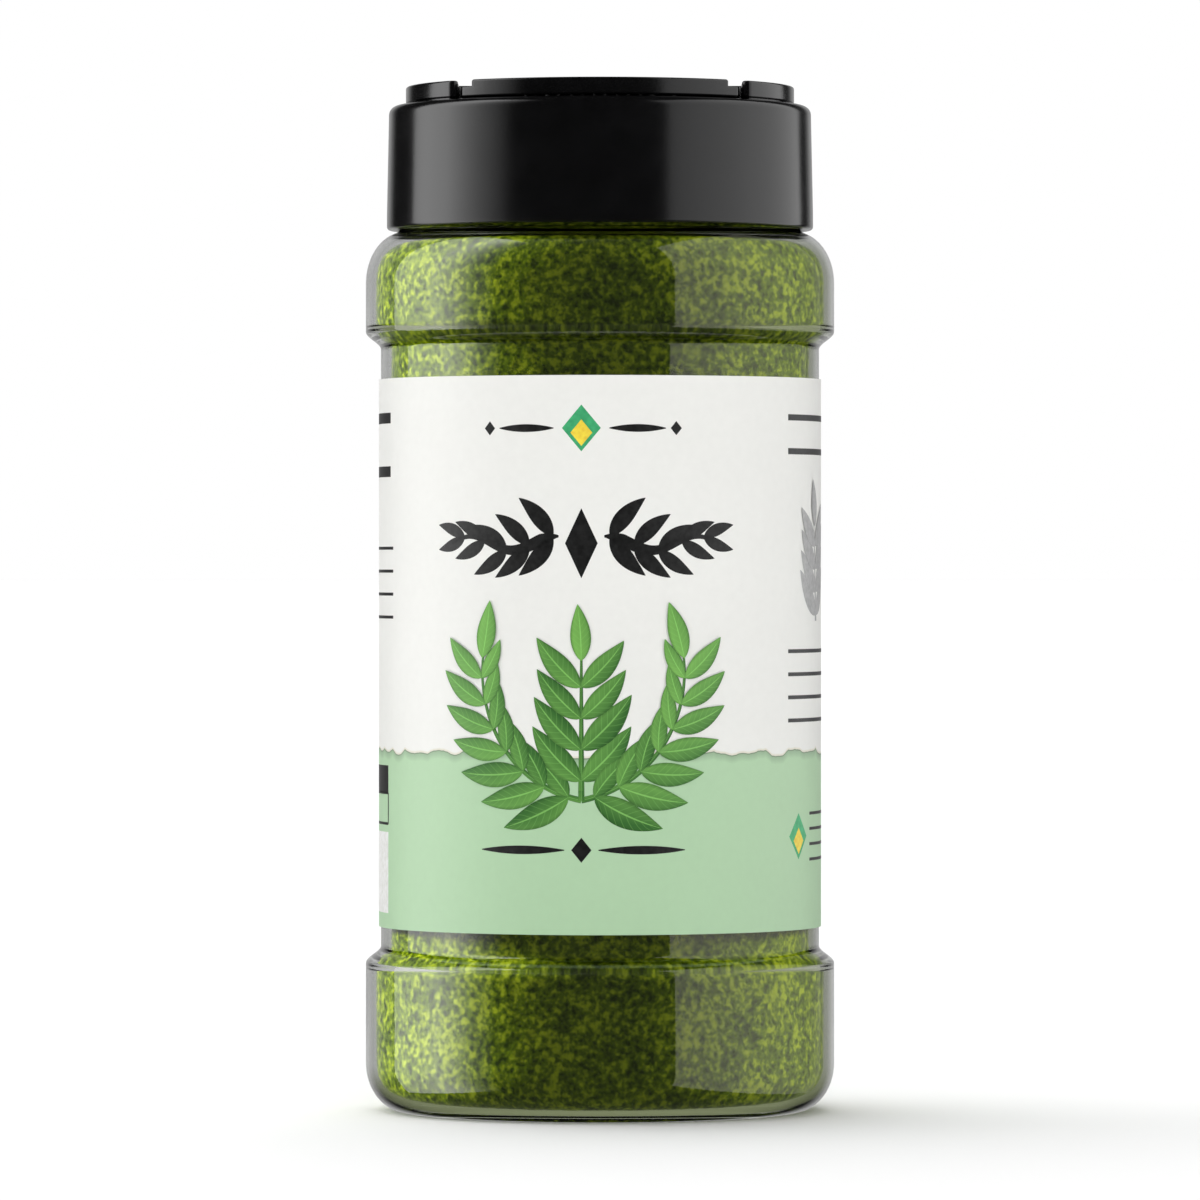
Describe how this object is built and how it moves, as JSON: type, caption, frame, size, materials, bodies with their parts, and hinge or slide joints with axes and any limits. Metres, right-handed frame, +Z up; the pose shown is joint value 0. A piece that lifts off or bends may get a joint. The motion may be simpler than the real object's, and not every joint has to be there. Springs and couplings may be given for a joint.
{
  "type": "spice shaker jar",
  "caption": "Clear plastic jar full of green leaf powder, with a wrap-around paper label and a black screw cap with flip doors for shaking and pouring.",
  "frame": {"origin": "centre of the jar's foot on the surface that it stands on", "axes": "+Z up along the jar's axis, -Y towards the front of the label and the sifting door, +X to the right seen from the front"},
  "size_m": [0.0616, 0.0616, 0.1347],
  "materials": {
    "clear_plastic": "gloss",
    "leaf_powder": "matte",
    "label_paper": "satin",
    "liner_foam": "matte",
    "black_plastic": "gloss"
  },
  "bodies": {
    "jar": {"jar_body": "clear_plastic", "powder_fill": "leaf_powder", "label_wrap": "label_paper"},
    "liner": {"liner_ring": "liner_foam"},
    "cap": {"cap_shell": "black_plastic"},
    "front_door": {"door_front": "black_plastic"},
    "rear_door": {"door_rear": "black_plastic"}
  },
  "joints": [
    {"name": "liner_lift", "type": "slide", "parent": "jar", "child": "liner", "axis": [0, 0, 1], "range_m": [0, 0.0053]},
    {"name": "cap_turn", "type": "hinge", "parent": "liner", "child": "cap", "pos_m": [0, 0, 0.125], "axis": [0, 0, 1], "range_deg": [0, 450]},
    {"name": "front_door_hinge", "type": "hinge", "parent": "cap", "child": "front_door", "pos_m": [0, -0.00465, 0.1347], "axis": [-1, 0, 0], "range_deg": [0, 95]},
    {"name": "rear_door_hinge", "type": "hinge", "parent": "cap", "child": "rear_door", "pos_m": [0, 0.00465, 0.1347], "axis": [1, 0, 0], "range_deg": [0, 95]}
  ],
  "couplings": [
    {"joint": "liner_lift", "follows": "cap_turn", "m_per_rad": 0.0006737}
  ]
}
